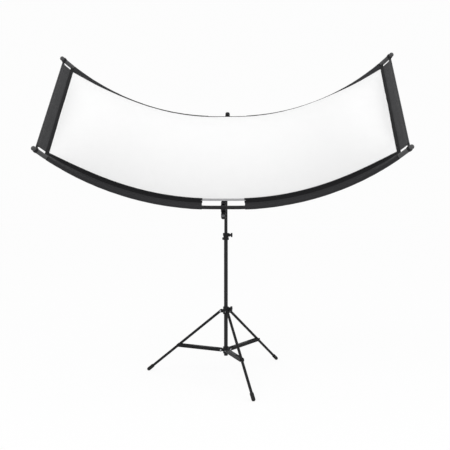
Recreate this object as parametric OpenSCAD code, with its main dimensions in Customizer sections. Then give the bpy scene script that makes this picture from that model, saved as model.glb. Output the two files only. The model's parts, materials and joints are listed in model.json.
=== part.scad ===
// Curved rectangular reflector on a folding stand. Millimetres, +Z up.
// The origin is on the floor, under the middle of the object's box.

/* [Reflector] */
// Distance between the two bowed tubes, centre to centre
frame_w = 600; // [500:10:700]
// Length of each bowed tube along its curve
arc_len = 1800; // [1500:10:2000]
// Radius of the bowed stretch, at the tube's centre line
bow_r = 870; // [800:1:1100]
// Straight length at the middle of each tube, where it is clamped
mid_straight = 100; // [80:2:140]
// Outer diameter of the bowed tubes
arc_d = 17; // [14:0.5:20]
// Wall of the bowed tubes
arc_wall = 1.5; // [1:0.1:2]
// Distance from the middle of a tube to the joint with its end section
section_at = 300; // [220:5:340]
// Angle of the reflector from level
tilt = 48.9; // [30:0.1:60]
// Height of the tilt axis above the floor
tilt_z = 1029; // [990:1:1100]

/* [Cloth] */
// Width of the sleeve cloth inside each tube
sleeve_w = 19; // [18:1:40]
// Length of the opening at the middle of each sleeve
window_len = 196; // [140:2:240]
// Length of tube left bare at each end
bare_len = 80; // [65:1:110]
// Width of the cloth band across each end, with its hem
band_w = 63; // [50:1:64]
// Gap between the end of a band and the tube
band_gap = 18; // [12:1:30]
// How far the middle of the cloth stands above the tubes
swell = 165; // [0:1:180]
// Thickness of one layer of cloth
cloth_t = 0.8; // [0.5:0.1:1.5]

/* [Crossbar and clamps] */
// Width of the crossbar
bar_w = 20; // [16:1:26]
// Height of the crossbar's section
bar_h = 12; // [10:1:16]
// Wall of the crossbar
bar_wall = 1.5; // [1:0.1:2.5]
// How far the crossbar runs past the near tube's centre
bar_nose = 45; // [32:1:60]
// Diameter of the clamp knobs
clamp_knob_d = 23; // [18:0.5:28]

/* [Stand] */
// Outer diameter of the lower tube
lower_d = 19; // [18:0.5:22]
// Outer diameter of the middle tube
middle_d = 16; // [15:0.5:17]
// Outer diameter of the top tube
top_d = 13; // [11:0.5:14]
// Wall of the three stand tubes
tube_wall = 1; // [0.8:0.1:1.2]
// Height of the lower tube's top
lower_top_z = 690; // [660:1:740]
// Height of the middle tube's top
middle_top_z = 905; // [880:1:920]
// Diameter of the spigot that carries the bracket
spigot_d = 16; // [14:0.5:17]

/* [Legs] */
// Distance from the column's axis to a foot
foot_reach = 403; // [340:1:460]
// Outer diameter of a leg
leg_d = 13; // [11:0.5:14]
// Height of the leg pivots
leg_pivot_z = 322; // [300:1:360]
// Height of the brace pivots
brace_pivot_z = 128; // [115:1:150]
// Where the brace holds the leg, from the leg's pivot
brace_at = 285; // [250:1:310]
// Height of a brace's side strip
brace_h = 16; // [12:1:18]
// Radius of a rubber foot
foot_r = 9; // [8:0.5:11]

/* [Hidden] */
$fn = 64;
bend_fn = 360;
// running, sliding and cloth clearances, and the overlap of a cut
run = 0.08;
slide = 0.1;
loose = 0.3;
cut = 1;

// bow of the tubes, by the distance s along the curve from the middle
half_len = arc_len / 2;
mid_half = mid_straight / 2;
function bow_deg(s) = max(0, s - mid_half) / bow_r * 180 / PI;
function bow_x(s) = min(s, mid_half) + bow_r * sin(bow_deg(s));
function bow_z(s) = bow_r * (1 - cos(bow_deg(s)));

// heights above the tilt axis, measured square to the reflector
arc_r = arc_d / 2;
bar_z = 20;
clamp_floor = 9.5;
rise = bar_z + bar_h + clamp_floor + arc_r;
half_w = frame_w / 2;

// ends of the tubes
socket_wall = 1.5;
socket_r = arc_r + socket_wall;
cap_over = 0.3;
cap_r = socket_r + cap_over;
tube_end = half_len - cap_r;
socket_len = bare_len - 4;
stay_d = 8;
hem_wall = 1.2;
stay_s = half_len - bare_len + band_w - stay_d / 2 - hem_wall;
clip_wall = 1.6;
clip_r = socket_r + loose + clip_wall;
clip_len = 10;
// how far the stay stops from the clip's ring, and how far its socket runs on towards the band
stay_in = 5;
stay_grip = min(6, arc_r + band_gap - clip_r - stay_in - 0.5);

// the cloth
field_s = half_len - bare_len;
pocket_r = arc_r + loose + hem_wall;
swell_v = half_w - pocket_r - 0.05;
sleeve_v = swell_v - sleeve_w;
ease = 3.2;
function cosh(a) = (exp(a) + exp(-a)) / 2;
// the tension along the curve lifts the cloth between the tubes, as a round arch across it
function arch(s) = swell * max(0, 1 - cosh(ease * s / half_w) / cosh(ease * field_s / half_w));
function lift(s, v) = arch(s) < 0.01 ? 0
    : let (r = (pow(swell_v, 2) + pow(arch(s), 2)) / (2 * arch(s)))
        max(0, sqrt(max(0, pow(r, 2) - pow(v, 2))) - r + arch(s));
function on_bow(s, v, h) = [
    sign(s) * (bow_x(abs(s)) - h * sin(bow_deg(abs(s)))),
    v,
    rise + bow_z(abs(s)) + h * cos(bow_deg(abs(s)))
];

// knobs of the clamps
knob_gap = 0.6;
jaw_wall = 3;
clamp_screw_y = arc_r + jaw_wall + knob_gap + clamp_knob_d / 2;
shelf_z = rise - 6;
tail_past_screw = 14;
bar_tail = clamp_screw_y + tail_past_screw;

// the stand
leg_az = [-70, 50, 170];
leg_pivot_r = 26;
brace_pivot_r = 24;
leg_pin_r = 2.5;
foot_z = 7.5;
leg_run = foot_reach - leg_pivot_r;
leg_fall = leg_pivot_z - foot_z;
leg_len = sqrt(pow(leg_run, 2) + pow(leg_fall, 2));
leg_deg = atan2(leg_run, leg_fall);
hold_r = leg_pivot_r + brace_at * sin(leg_deg);
hold_z = leg_pivot_z - brace_at * cos(leg_deg);
brace_len = sqrt(pow(hold_r - brace_pivot_r, 2) + pow(hold_z - brace_pivot_z, 2));
brace_deg = atan2(hold_z - brace_pivot_z, hold_r - brace_pivot_r);
strip_t = 2.2;
strip_gap = leg_d + 1.4;
lug_t = 3.2;
lug_gap = leg_d + 0.8;
hub_r = lower_d / 2 + 4.5;
leg_top = 7;

lower_bottom_z = 105;
middle_len = 485;
middle_bottom_z = middle_top_z - middle_len;
bush_lip = 8;
bush_tail = 10;
top_bottom_z = middle_bottom_z + bush_tail + bush_lip + 2;
shoulder_z = middle_top_z + 27;
shoulder_h = 22;
spigot_z = shoulder_z + shoulder_h;
spigot_h = 40;
socket_h = 43;
lug_w = 12;
tilt_r = 14;
cheek_t = 4;
tilt_bolt_r = 4;

// the column stands where the object's box is centred on the origin
reach_front = half_w * cos(tilt) + (rise + bow_z(tube_end)) * sin(tilt) + cap_r;
reach_back = foot_reach * sin(leg_az[1]) + foot_r;
column_y = (reach_front - reach_back) / 2;

// ---- frames ----

module at_column() {
    translate([0, column_y, 0]) children();
}

// local x across, y up the slope away from the front, z square to the reflector
module on_panel() {
    at_column() translate([0, 0, tilt_z]) rotate([tilt, 0, 0]) children();
}

module both_sides() {
    children();
    mirror([1, 0, 0]) children();
}

// a child drawn as [height, y] about the tube's centre is swept along the right half of the bow
module bow(from, to) {
    if (from < mid_half)
        translate([from, 0, rise]) rotate([0, 90, 0])
            linear_extrude(min(to, mid_half) - from) mirror([1, 0]) children();
    if (to > mid_half)
        translate([mid_half, 0, rise + bow_r]) rotate([90, 0, 0])
            rotate([0, 0, bow_deg(from) - 90])
            rotate_extrude(angle = bow_deg(to) - bow_deg(from), $fn = bend_fn)
            translate([bow_r, 0]) rotate(180) children();
}

// a place on the right half of the bow, with x along the tube
module on_right(s) {
    translate([bow_x(s), 0, rise + bow_z(s)]) rotate([0, -bow_deg(s), 0]) children();
}

module near_side() {
    translate([0, -half_w, 0]) children();
}

module far_side() {
    translate([0, half_w, 0]) children();
}

// a sheet of cloth between s0 and s1 along the bow and v0 and v1 across it
module sheet(s0, s1, v0, v1, low, high, ns, nv) {
    top = [for (i = [0:ns]) for (j = [0:nv]) sheet_point(s0, s1, v0, v1, i / ns, j / nv, high)];
    under = [for (i = [0:ns]) for (j = [0:nv]) sheet_point(s0, s1, v0, v1, i / ns, j / nv, low)];
    n = (ns + 1) * (nv + 1);
    row = nv + 1;
    quads = [
        for (i = [0:ns - 1]) for (j = [0:nv - 1])
            [i * row + j, i * row + j + 1, (i + 1) * row + j + 1, (i + 1) * row + j],
        for (i = [0:ns - 1]) for (j = [0:nv - 1])
            [n + i * row + j, n + (i + 1) * row + j, n + (i + 1) * row + j + 1, n + i * row + j + 1],
        for (i = [0:ns - 1]) [i * row, (i + 1) * row, n + (i + 1) * row, n + i * row],
        for (i = [0:ns - 1])
            [i * row + nv, n + i * row + nv, n + (i + 1) * row + nv, (i + 1) * row + nv],
        for (j = [0:nv - 1]) [j, n + j, n + j + 1, j + 1],
        for (j = [0:nv - 1])
            [ns * row + j, ns * row + j + 1, n + ns * row + j + 1, n + ns * row + j]
    ];
    tris = [for (q = quads) each [[q[0], q[1], q[2]], [q[0], q[2], q[3]]]];
    polyhedron(concat(top, under), tris);
}

function sheet_point(s0, s1, v0, v1, a, b, h) =
    let (s = s0 + (s1 - s0) * a, v = v0 + (v1 - v0) * b) on_bow(s, v, lift(s, v) + h);

// ---- shared shapes ----

// a knob with finger hollows round its rim, on the XY plane, opening up +Z
module star_knob(d, h, lobes) {
    difference() {
        cylinder(d = d, h = h);
        for (i = [0:lobes - 1])
            rotate(360 / lobes * i) translate([d * 0.6, 0, -cut]) cylinder(d = d * 0.42, h = h + 2 * cut);
        translate([0, 0, h - 1.2]) cylinder(d = d * 0.45, h = 1.2 + cut);
    }
}

// a wing knob on a screw: the screw's tip at the origin, the knob outwards along +X
module wing_screw(screw_d, screw_len, knob_d, knob_h) {
    rotate([0, 90, 0]) {
        cylinder(d = screw_d, h = screw_len + cut);
        translate([0, 0, screw_len]) cylinder(d = knob_d * 0.5, h = knob_h * 0.45);
        translate([0, 0, screw_len + knob_h * 0.35]) star_knob(knob_d, knob_h * 0.65, 6);
    }
}

// ---- the stand ----

module tube(d, z0, z1) {
    translate([0, 0, z0])
        difference() {
            cylinder(d = d, h = z1 - z0);
            translate([0, 0, -cut]) cylinder(d = d - 2 * tube_wall, h = z1 - z0 + 2 * cut);
        }
}

// a place at a leg's azimuth, with x outwards
module at_leg(i) {
    at_column() rotate(leg_az[i]) children();
}

collar_h = 34;
collar_ear_t = 14;
collar_screw_up = 10;

// collar at the top of a tube: it grips the next tube in, and its knob is on +X
module section_collar(outer_d, inner_d, top_z) {
    outer_r = outer_d / 2;
    lobe_r = outer_r + 5;
    at_column() translate([0, 0, top_z - collar_h / 2])
        difference() {
            union() {
                cylinder(r = lobe_r, h = collar_h * 0.36);
                translate([0, 0, collar_h * 0.3]) cylinder(r = lobe_r - 2, h = collar_h * 0.4);
                translate([0, 0, collar_h * 0.6]) cylinder(r = lobe_r, h = collar_h * 0.4);
                translate([0, -collar_ear_t / 2, collar_h - collar_screw_up - 8])
                    cube([lobe_r + 5, collar_ear_t, 16]);
                translate([-lobe_r - 3, -5, 1]) cube([lobe_r, 10, 11]);
            }
            translate([0, 0, -cut]) cylinder(d = outer_d, h = collar_h / 2 + cut);
            cylinder(r = inner_d / 2 + slide, h = collar_h + cut);
            translate([0, 0, collar_h - collar_screw_up]) rotate([0, 90, 0])
                cylinder(r = 2.5 + run, h = lobe_r + 5 + cut);
        }
}

module section_knob(outer_d, inner_d, top_z) {
    tip = inner_d / 2 + slide + 0.4;
    screw = outer_d / 2 + 10 + knob_gap - tip;
    at_column() translate([tip, 0, top_z + collar_h / 2 - collar_screw_up])
        wing_screw(5, screw, 22, 12);
}

module lower_tube() {
    color("black") at_column() tube(lower_d, lower_bottom_z, lower_top_z);
}

module base_plug() {
    plug_h = 12;
    color("black") at_column() {
        translate([0, 0, lower_bottom_z - 5]) cylinder(d = lower_d, h = 5);
        translate([0, 0, lower_bottom_z - cut]) cylinder(d = lower_d - 2 * tube_wall, h = plug_h + cut);
    }
}

module base_collar() {
    h = 32;
    color("black") at_column() translate([0, 0, brace_pivot_z - h / 2])
        difference() {
            union() {
                cylinder(r = hub_r, h = h);
                for (a = leg_az) rotate(a) {
                    translate([0, -lug_in_w / 2, h / 2 - 7]) cube([brace_pivot_r, lug_in_w, 14]);
                    translate([brace_pivot_r, lug_in_w / 2, h / 2]) rotate([90, 0, 0])
                        cylinder(r = 7, h = lug_in_w);
                }
            }
            translate([0, 0, -cut]) cylinder(d = lower_d, h = h + 2 * cut);
            for (a = leg_az) rotate(a)
                translate([brace_pivot_r, lug_in_w / 2 + cut, h / 2]) rotate([90, 0, 0])
                cylinder(r = leg_pin_r, h = lug_in_w + 2 * cut);
        }
}

lug_in_w = strip_gap - 0.6;
pin_head_t = 1.6;

module cross_pin(inside_w, head_r) {
    rotate([90, 0, 0]) {
        translate([0, 0, -inside_w / 2]) cylinder(r = leg_pin_r, h = inside_w);
        for (m = [0, 1]) mirror([0, 0, m])
            translate([0, 0, inside_w / 2]) cylinder(r = head_r, h = pin_head_t);
    }
}

module base_pins() {
    color("silver")
        for (i = [0:2]) at_leg(i) translate([brace_pivot_r, 0, brace_pivot_z])
            cross_pin(strip_gap + 2 * strip_t + 0.4, 4);
}

module lower_section_collar() {
    color("black") section_collar(lower_d, middle_d, lower_top_z);
}

module lower_section_knob() {
    color("black") section_knob(lower_d, middle_d, lower_top_z);
}

leg_collar_h = 36;
leg_collar_low = 15;
leg_knob_az = -10;
leg_knob_z = leg_pivot_z + 12;

module leg_collar() {
    bottom = leg_pivot_z - leg_collar_low;
    lug_out = lug_gap / 2 + lug_t;
    color("black") at_column()
        difference() {
            union() {
                translate([0, 0, bottom]) cylinder(r = hub_r, h = leg_collar_h);
                for (a = leg_az) rotate(a) for (m = [0, 1]) mirror([0, m, 0]) {
                    translate([0, lug_gap / 2, leg_pivot_z - 7]) cube([leg_pivot_r, lug_t, 14]);
                    translate([leg_pivot_r, lug_out, leg_pivot_z]) rotate([90, 0, 0])
                        cylinder(r = 7, h = lug_t);
                }
                rotate(leg_knob_az) translate([0, -6, leg_knob_z - 7]) cube([hub_r + 4, 12, 14]);
            }
            translate([0, 0, bottom - cut]) cylinder(r = lower_d / 2 + slide, h = leg_collar_h + 2 * cut);
            for (a = leg_az) rotate(a)
                translate([leg_pivot_r, lug_out + cut, leg_pivot_z]) rotate([90, 0, 0])
                cylinder(r = leg_pin_r, h = 2 * (lug_out + cut));
            rotate(leg_knob_az) translate([0, 0, leg_knob_z]) rotate([0, 90, 0])
                cylinder(r = 2.5 + run, h = hub_r + 4 + cut);
        }
}

module leg_pins() {
    color("silver")
        for (i = [0:2]) at_leg(i) translate([leg_pivot_r, 0, leg_pivot_z])
            cross_pin(lug_gap + 2 * lug_t, 4);
}

module leg_collar_knob() {
    tip = lower_d / 2 + slide + 0.4;
    color("black") at_column() rotate(leg_knob_az) translate([tip, 0, leg_knob_z])
        wing_screw(5, hub_r + 4 + knob_gap - tip, 24, 13);
}

// a place on a leg, with z up along it and its pivot at the origin
module on_leg(i) {
    at_leg(i) translate([leg_pivot_r, 0, leg_pivot_z]) rotate([0, -leg_deg, 0]) children();
}

module leg(i) {
    color("dimgray") on_leg(i)
        difference() {
            translate([0, 0, -leg_len]) cylinder(d = leg_d, h = leg_len + leg_top);
            translate([0, 0, -leg_len - cut])
                cylinder(d = leg_d - 2 * tube_wall, h = leg_len + leg_top + 2 * cut);
            rotate([90, 0, 0]) cylinder(r = leg_pin_r + run, h = leg_d + cut, center = true);
            translate([0, 0, -brace_at]) rotate([90, 0, 0])
                cylinder(r = leg_pin_r, h = leg_d + cut, center = true);
        }
}

module foot(i) {
    cap = 30;
    color("black")
        difference() {
            on_leg(i) translate([0, 0, -leg_len]) {
                cylinder(r = foot_r, h = cap);
                sphere(r = foot_r);
            }
            on_leg(i) translate([0, 0, -leg_len]) cylinder(d = leg_d, h = cap + cut);
            at_leg(i) translate([foot_reach - 20, -20, -20]) cube([40, 40, 20]);
        }
}

module brace(i) {
    inner = strip_gap / 2;
    web_from = 30;
    web_to = 140;
    color("black") at_leg(i) translate([brace_pivot_r, 0, brace_pivot_z]) rotate([0, -brace_deg, 0])
        difference() {
            union() {
                for (m = [0, 1]) mirror([0, m, 0]) {
                    translate([0, inner, -brace_h / 2]) cube([brace_len, strip_t, brace_h]);
                    for (x = [0, brace_len])
                        translate([x, inner + strip_t, 0]) rotate([90, 0, 0])
                            cylinder(d = brace_h, h = strip_t);
                    translate([brace_len, inner + strip_t + 1.2, 0]) rotate([90, 0, 0])
                        cylinder(r = 4.5, h = 1.2 + strip_t);
                }
                translate([web_from, -inner - strip_t / 2, brace_h / 2 - strip_t])
                    cube([web_to - web_from, strip_gap + strip_t, strip_t]);
            }
            rotate([90, 0, 0]) cylinder(r = leg_pin_r + run, h = 2 * strip_gap, center = true);
        }
}

module leg_rivet(i) {
    color("silver") on_leg(i) translate([0, 0, -brace_at]) rotate([90, 0, 0])
        cylinder(r = leg_pin_r, h = leg_d + 0.6, center = true);
}

module middle_tube() {
    color("black") at_column() tube(middle_d, middle_bottom_z, middle_top_z);
}

module bush(outer_bore, inner_d, z0) {
    bore = inner_d - 2 * tube_wall;
    at_column() translate([0, 0, z0 - bush_lip])
        difference() {
            union() {
                cylinder(d = outer_bore - 2 * slide, h = bush_lip);
                translate([0, 0, bush_lip - cut]) cylinder(d = bore, h = bush_tail + cut);
            }
            translate([0, 0, -cut]) cylinder(d = bore - 3, h = bush_lip + bush_tail + 2 * cut);
        }
}

module middle_bush() {
    color("white") bush(lower_d - 2 * tube_wall, middle_d, middle_bottom_z);
}

module upper_section_collar() {
    color("black") section_collar(middle_d, top_d, middle_top_z);
}

module upper_section_knob() {
    color("black") section_knob(middle_d, top_d, middle_top_z);
}

module top_tube() {
    color("black") at_column() tube(top_d, top_bottom_z, shoulder_z);
}

module top_bush() {
    color("white") bush(middle_d - 2 * tube_wall, top_d, top_bottom_z);
}

module spigot() {
    groove_z = spigot_z + spigot_h * 0.45;
    color("silver") at_column() {
        translate([0, 0, shoulder_z - 25]) cylinder(d = top_d - 2 * tube_wall, h = 25 + cut);
        translate([0, 0, shoulder_z]) cylinder(d = spigot_d + 6, h = shoulder_h);
        difference() {
            translate([0, 0, spigot_z - cut]) cylinder(d = spigot_d, h = spigot_h + cut);
            translate([0, 0, groove_z - 5])
                difference() {
                    cylinder(d = spigot_d + 2, h = 10);
                    translate([0, 0, -cut]) cylinder(d = spigot_d - 3, h = 12);
                }
        }
    }
}

// ---- the bracket ----

bracket_r = 14;
bracket_z = spigot_z + 2;
bracket_top = bracket_z + socket_h;
lock_z = spigot_z + spigot_h * 0.45;

module bracket_socket() {
    color("black") at_column()
        difference() {
            union() {
                translate([0, 0, bracket_z]) cylinder(r = bracket_r, h = socket_h);
                translate([-lug_w / 2, -10, bracket_top - 6]) cube([lug_w, 20, tilt_z - bracket_top + 6]);
                translate([-lug_w / 2, 0, tilt_z]) rotate([0, 90, 0]) cylinder(r = tilt_r, h = lug_w);
                translate([0, -8, lock_z - 8]) cube([bracket_r + 4, 16, 16]);
            }
            translate([0, 0, bracket_z - cut])
                cylinder(r = spigot_d / 2 + run, h = spigot_h - 2 + cut + 1);
            translate([-lug_w, 0, tilt_z]) rotate([0, 90, 0])
                cylinder(r = tilt_bolt_r + run, h = 2 * lug_w);
            translate([0, 0, lock_z]) rotate([0, 90, 0]) cylinder(r = 3 + run, h = bracket_r + 4 + cut);
        }
}

module spigot_lock_knob() {
    tip = spigot_d / 2 - 1;
    color("black") at_column() translate([tip, 0, lock_z])
        wing_screw(6, bracket_r + 4 + knob_gap - tip, 24, 14);
}

cheek_in = lug_w / 2 + 0.3;
cheek_out = cheek_in + cheek_t;

module tilt_yoke() {
    plate_t = 4;
    grip_t = 3;
    grip_l = 44;
    color("black") on_panel()
        difference() {
            union() {
                for (m = [0, 1]) mirror([m, 0, 0]) {
                    translate([cheek_in, 0, 0]) rotate([0, 90, 0]) cylinder(r = tilt_r, h = cheek_t);
                    translate([cheek_in, -tilt_r, 0]) cube([cheek_t, 2 * tilt_r, bar_z - plate_t + cut]);
                    translate([bar_w / 2, -grip_l / 2, bar_z - plate_t])
                        cube([grip_t, grip_l, plate_t + bar_h * 0.75]);
                }
                translate([-bar_w / 2 - grip_t, -grip_l / 2, bar_z - plate_t])
                    cube([bar_w + 2 * grip_t, grip_l, plate_t]);
            }
            translate([-cheek_out - cut, 0, 0]) rotate([0, 90, 0])
                cylinder(r = tilt_bolt_r, h = 2 * cheek_out + 2 * cut);
        }
}

module tilt_bolt() {
    color("silver") on_panel() {
        translate([-cheek_out, 0, 0]) rotate([0, 90, 0]) cylinder(r = tilt_bolt_r, h = 2 * cheek_out + 9);
        translate([-cheek_out - 5, 0, 0]) rotate([0, 90, 0]) cylinder(r = 7, h = 5);
    }
}

module tilt_knob() {
    washer = 1.5;
    x = cheek_out + washer;
    color("black") on_panel() translate([x, 0, 0])
        difference() {
            rotate([0, 90, 0]) {
                cylinder(r = 8, h = 7);
                translate([0, 0, 4]) star_knob(30, 12, 6);
            }
            translate([-cut, 0, 0]) rotate([0, 90, 0]) cylinder(r = tilt_bolt_r + run, h = 9);
        }
}

// ---- the crossbar and its clamps ----

bar_near = -half_w - bar_nose + bar_w / 2;
bar_far = half_w + bar_tail;

module crossbar() {
    length = bar_far - bar_near;
    color("black") on_panel() translate([0, bar_near, bar_z])
        difference() {
            translate([-bar_w / 2, 0, 0]) cube([bar_w, length, bar_h]);
            translate([-bar_w / 2 + bar_wall, -cut, bar_wall])
                cube([bar_w - 2 * bar_wall, length + 2 * cut, bar_h - 2 * bar_wall]);
            for (y = [-half_w, half_w])
                translate([0, y + clamp_screw_y - bar_near, bar_wall]) cylinder(r = 2.5 + run, h = bar_h);
        }
}

module crossbar_caps() {
    core_w = bar_w - 2 * bar_wall;
    core_h = bar_h - 2 * bar_wall;
    tail_core = tail_past_screw - screw_r - 1.5;
    color("black") on_panel() {
        translate([0, bar_near, bar_z])
            intersection() {
                cylinder(d = bar_w, h = bar_h);
                translate([-bar_w, -bar_w, 0]) cube([2 * bar_w, bar_w, bar_h]);
            }
        translate([-core_w / 2, bar_near - cut, bar_z + bar_wall]) cube([core_w, 14 + cut, core_h]);
        translate([-bar_w / 2, bar_far, bar_z]) cube([bar_w, 3, bar_h]);
        translate([-core_w / 2, bar_far - tail_core, bar_z + bar_wall])
            cube([core_w, tail_core + cut, core_h]);
    }
}

// a raised stop that keeps the near clamp from being pushed off the bar's end
module nose_button() {
    color("gray") on_panel() translate([0, bar_near - 1, bar_z + bar_h])
        difference() {
            cylinder(r = 7, h = 3);
            translate([0, 0, 2]) cylinder(r = 3.5, h = 1 + cut);
        }
}

clamp_x = 11;
screw_r = 2.5;
saddle_back = arc_r + 1.2;
jaw_back = saddle_back + 0.1;

module clamp_saddle() {
    back = clamp_screw_y + 9;
    front = arc_r + jaw_wall;
    translate([0, 0, bar_z + bar_h])
        difference() {
            union() {
                translate([-clamp_x, -front, 0])
                    cube([2 * clamp_x, front + saddle_back, clamp_floor + arc_r]);
                translate([-clamp_x, 0, 0]) cube([2 * clamp_x, back, shelf_z - bar_z - bar_h]);
            }
            translate([-clamp_x - cut, 0, clamp_floor + arc_r]) rotate([0, 90, 0])
                cylinder(r = arc_r + 0.05, h = 2 * clamp_x + 2 * cut);
            translate([0, clamp_screw_y, -cut]) cylinder(r = screw_r + run, h = 30);
        }
}

module clamp_saddles() {
    color("black") on_panel() {
        near_side() clamp_saddle();
        far_side() clamp_saddle();
    }
}

module clamp_jaw() {
    back = clamp_screw_y + 9;
    front = arc_r + jaw_wall;
    seat = 0.4;
    difference() {
        union() {
            translate([-clamp_x, 0, rise + seat]) rotate([0, 90, 0]) cylinder(r = front, h = 2 * clamp_x);
            translate([-clamp_x, jaw_back, shelf_z + seat]) cube([2 * clamp_x, back - jaw_back, 4]);
        }
        translate([-clamp_x - cut, -2 * front, rise - 2 * front + seat])
            cube([2 * clamp_x + 2 * cut, 2 * front + jaw_back, 2 * front]);
        translate([-clamp_x - cut, 0, rise]) rotate([0, 90, 0])
            cylinder(r = arc_r + 0.1, h = 2 * clamp_x + 2 * cut);
        translate([0, clamp_screw_y, 0]) cylinder(r = screw_r + run, h = 2 * rise);
    }
    translate([-clamp_x, jaw_back, shelf_z + seat])
        cube([2 * clamp_x, front - jaw_back, rise - shelf_z + 2]);
}

module near_clamp_jaw() {
    color("black") on_panel() near_side() clamp_jaw();
}

module far_clamp_jaw() {
    color("black") on_panel() far_side() clamp_jaw();
}

module clamp_knob() {
    foot = bar_z + bar_wall + 0.5;
    seat = shelf_z + 4 + 0.4 + knob_gap;
    translate([0, clamp_screw_y, 0]) {
        translate([0, 0, foot]) cylinder(r = screw_r, h = seat - foot + cut);
        translate([0, 0, seat]) star_knob(clamp_knob_d, 11, 8);
    }
}

module near_clamp_knob() {
    color("black") on_panel() near_side() clamp_knob();
}

module far_clamp_knob() {
    color("black") on_panel() far_side() clamp_knob();
}

// ---- the bowed frame ----

module ring(outer_r, inner_r) {
    difference() {
        circle(r = outer_r);
        circle(r = inner_r);
    }
}

module arc_middle() {
    union() both_sides() bow(0, section_at) ring(arc_r, arc_r - arc_wall);
}

module arc_ends() {
    both_sides() union() bow(section_at, tube_end) ring(arc_r, arc_r - arc_wall);
}

module near_arc_middle() {
    color("black") on_panel() near_side() arc_middle();
}

module near_arc_ends() {
    color("black") on_panel() near_side() arc_ends();
}

module far_arc_middle() {
    color("black") on_panel() far_side() arc_middle();
}

module far_arc_ends() {
    color("black") on_panel() far_side() arc_ends();
}

module arc_ferrules() {
    r = arc_r - arc_wall - 0.05;
    color("silver") on_panel() for (y = [-half_w, half_w]) translate([0, y, 0])
        both_sides() bow(section_at - 40, section_at + 40) ring(r, r - 1.2);
}

module tip_socket() {
    union() {
        bow(half_len - socket_len, tube_end + cap_over) ring(socket_r, arc_r);
        on_right(tube_end) rotate([0, 90, 0]) rotate_extrude()
            intersection() {
                circle(r = cap_r);
                square(cap_r);
            }
    }
}

module tip_sockets() {
    color("dimgray") on_panel() for (y = [-half_w, half_w]) translate([0, y, 0])
        both_sides() tip_socket();
}

module shock_cords() {
    color("white") on_panel() for (y = [-half_w, half_w]) translate([0, y, 0])
        union() both_sides() bow(0, tube_end) circle(d = 4);
}

// a stay holds the tube ends apart at each end of the cloth
module end_stays() {
    color("gray") on_panel() both_sides() on_right(stay_s)
        rotate([90, 0, 0]) cylinder(d = stay_d, h = frame_w - 2 * (clip_r + stay_in), center = true);
}

module stay_clip() {
    stay_end = clip_r + stay_in;
    on_right(stay_s)
        difference() {
            union() {
                translate([-clip_len / 2, 0, 0]) rotate([0, 90, 0]) cylinder(r = clip_r, h = clip_len);
                rotate([-90, 0, 0]) cylinder(r = stay_d / 2 + hem_wall, h = stay_end + stay_grip);
            }
            translate([-clip_len, 0, 0]) rotate([0, 90, 0])
                cylinder(r = socket_r + 0.05, h = 2 * clip_len);
            translate([0, stay_end, 0]) rotate([-90, 0, 0]) cylinder(d = stay_d + 0.1, h = 20);
        }
}

module stay_clips() {
    color("black") on_panel() for (m = [0, 1]) mirror([0, m, 0])
        near_side() both_sides() stay_clip();
}

// ---- the cloth ----

field_n = 40;
field_across = 14;

module white_cloth() {
    color("white") on_panel()
        sheet(-field_s, field_s, -sleeve_v, sleeve_v, 0, cloth_t, field_n, field_across);
}

module silver_backing() {
    color("silver") on_panel()
        sheet(-field_s, field_s, -sleeve_v, sleeve_v, -cloth_t, 0, field_n, field_across);
}

module sleeve_half() {
    from = window_len / 2;
    to = half_len - bare_len;
    union() {
        near_side() bow(from, to) ring(pocket_r, arc_r + loose);
        sheet(from, to, -swell_v, -sleeve_v, -cloth_t, cloth_t, 20, 2);
    }
}

module near_sleeves() {
    color("black") on_panel() both_sides() sleeve_half();
}

module far_sleeves() {
    color("black") on_panel() mirror([0, 1, 0]) both_sides() sleeve_half();
}

module end_band() {
    v = half_w - arc_r - band_gap;
    bore_r = stay_d / 2 + loose;
    union() {
        bow(field_s, stay_s - bore_r - hem_wall / 2) square([2 * cloth_t, 2 * v], center = true);
        on_right(stay_s) rotate([90, 0, 0])
            linear_extrude(2 * v, center = true) ring(bore_r + hem_wall, bore_r);
    }
}

module end_bands() {
    color("dimgray") on_panel() both_sides() end_band();
}

// the folded edge of the white cloth across each opening
module window_hems() {
    from = window_len / 2;
    color("gray") on_panel() for (m = [0, 1]) mirror([0, m, 0])
        sheet(-from, from, -sleeve_v - 4, -sleeve_v, -cloth_t, cloth_t, 8, 1);
}

lower_tube();
base_plug();
base_collar();
base_pins();
lower_section_collar();
lower_section_knob();
leg_collar();
leg_pins();
leg_collar_knob();
leg(0);  // leg_front
leg(1);  // leg_right
leg(2);  // leg_left
foot(0);  // foot_front
foot(1);  // foot_right
foot(2);  // foot_left
brace(0);  // brace_front
brace(1);  // brace_right
brace(2);  // brace_left
leg_rivet(0);  // rivet_front
leg_rivet(1);  // rivet_right
leg_rivet(2);  // rivet_left
middle_tube();
middle_bush();
upper_section_collar();
upper_section_knob();
top_tube();
top_bush();
spigot();
bracket_socket();
spigot_lock_knob();
tilt_yoke();
tilt_bolt();
tilt_knob();
crossbar();
crossbar_caps();
nose_button();
clamp_saddles();
near_clamp_jaw();
far_clamp_jaw();
near_clamp_knob();
far_clamp_knob();
near_arc_middle();
near_arc_ends();
far_arc_middle();
far_arc_ends();
arc_ferrules();
tip_sockets();
shock_cords();
end_stays();
stay_clips();
white_cloth();
silver_backing();
near_sleeves();
far_sleeves();
end_bands();
window_hems();
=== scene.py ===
"""The looks of a curved light reflector on a folding stand: cloth, fittings, finishes and studio."""

import json
import math

import bpy
from bpy.props import FloatProperty, FloatVectorProperty, IntProperty, PointerProperty
from mathutils import Matrix, Vector, noise

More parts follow.
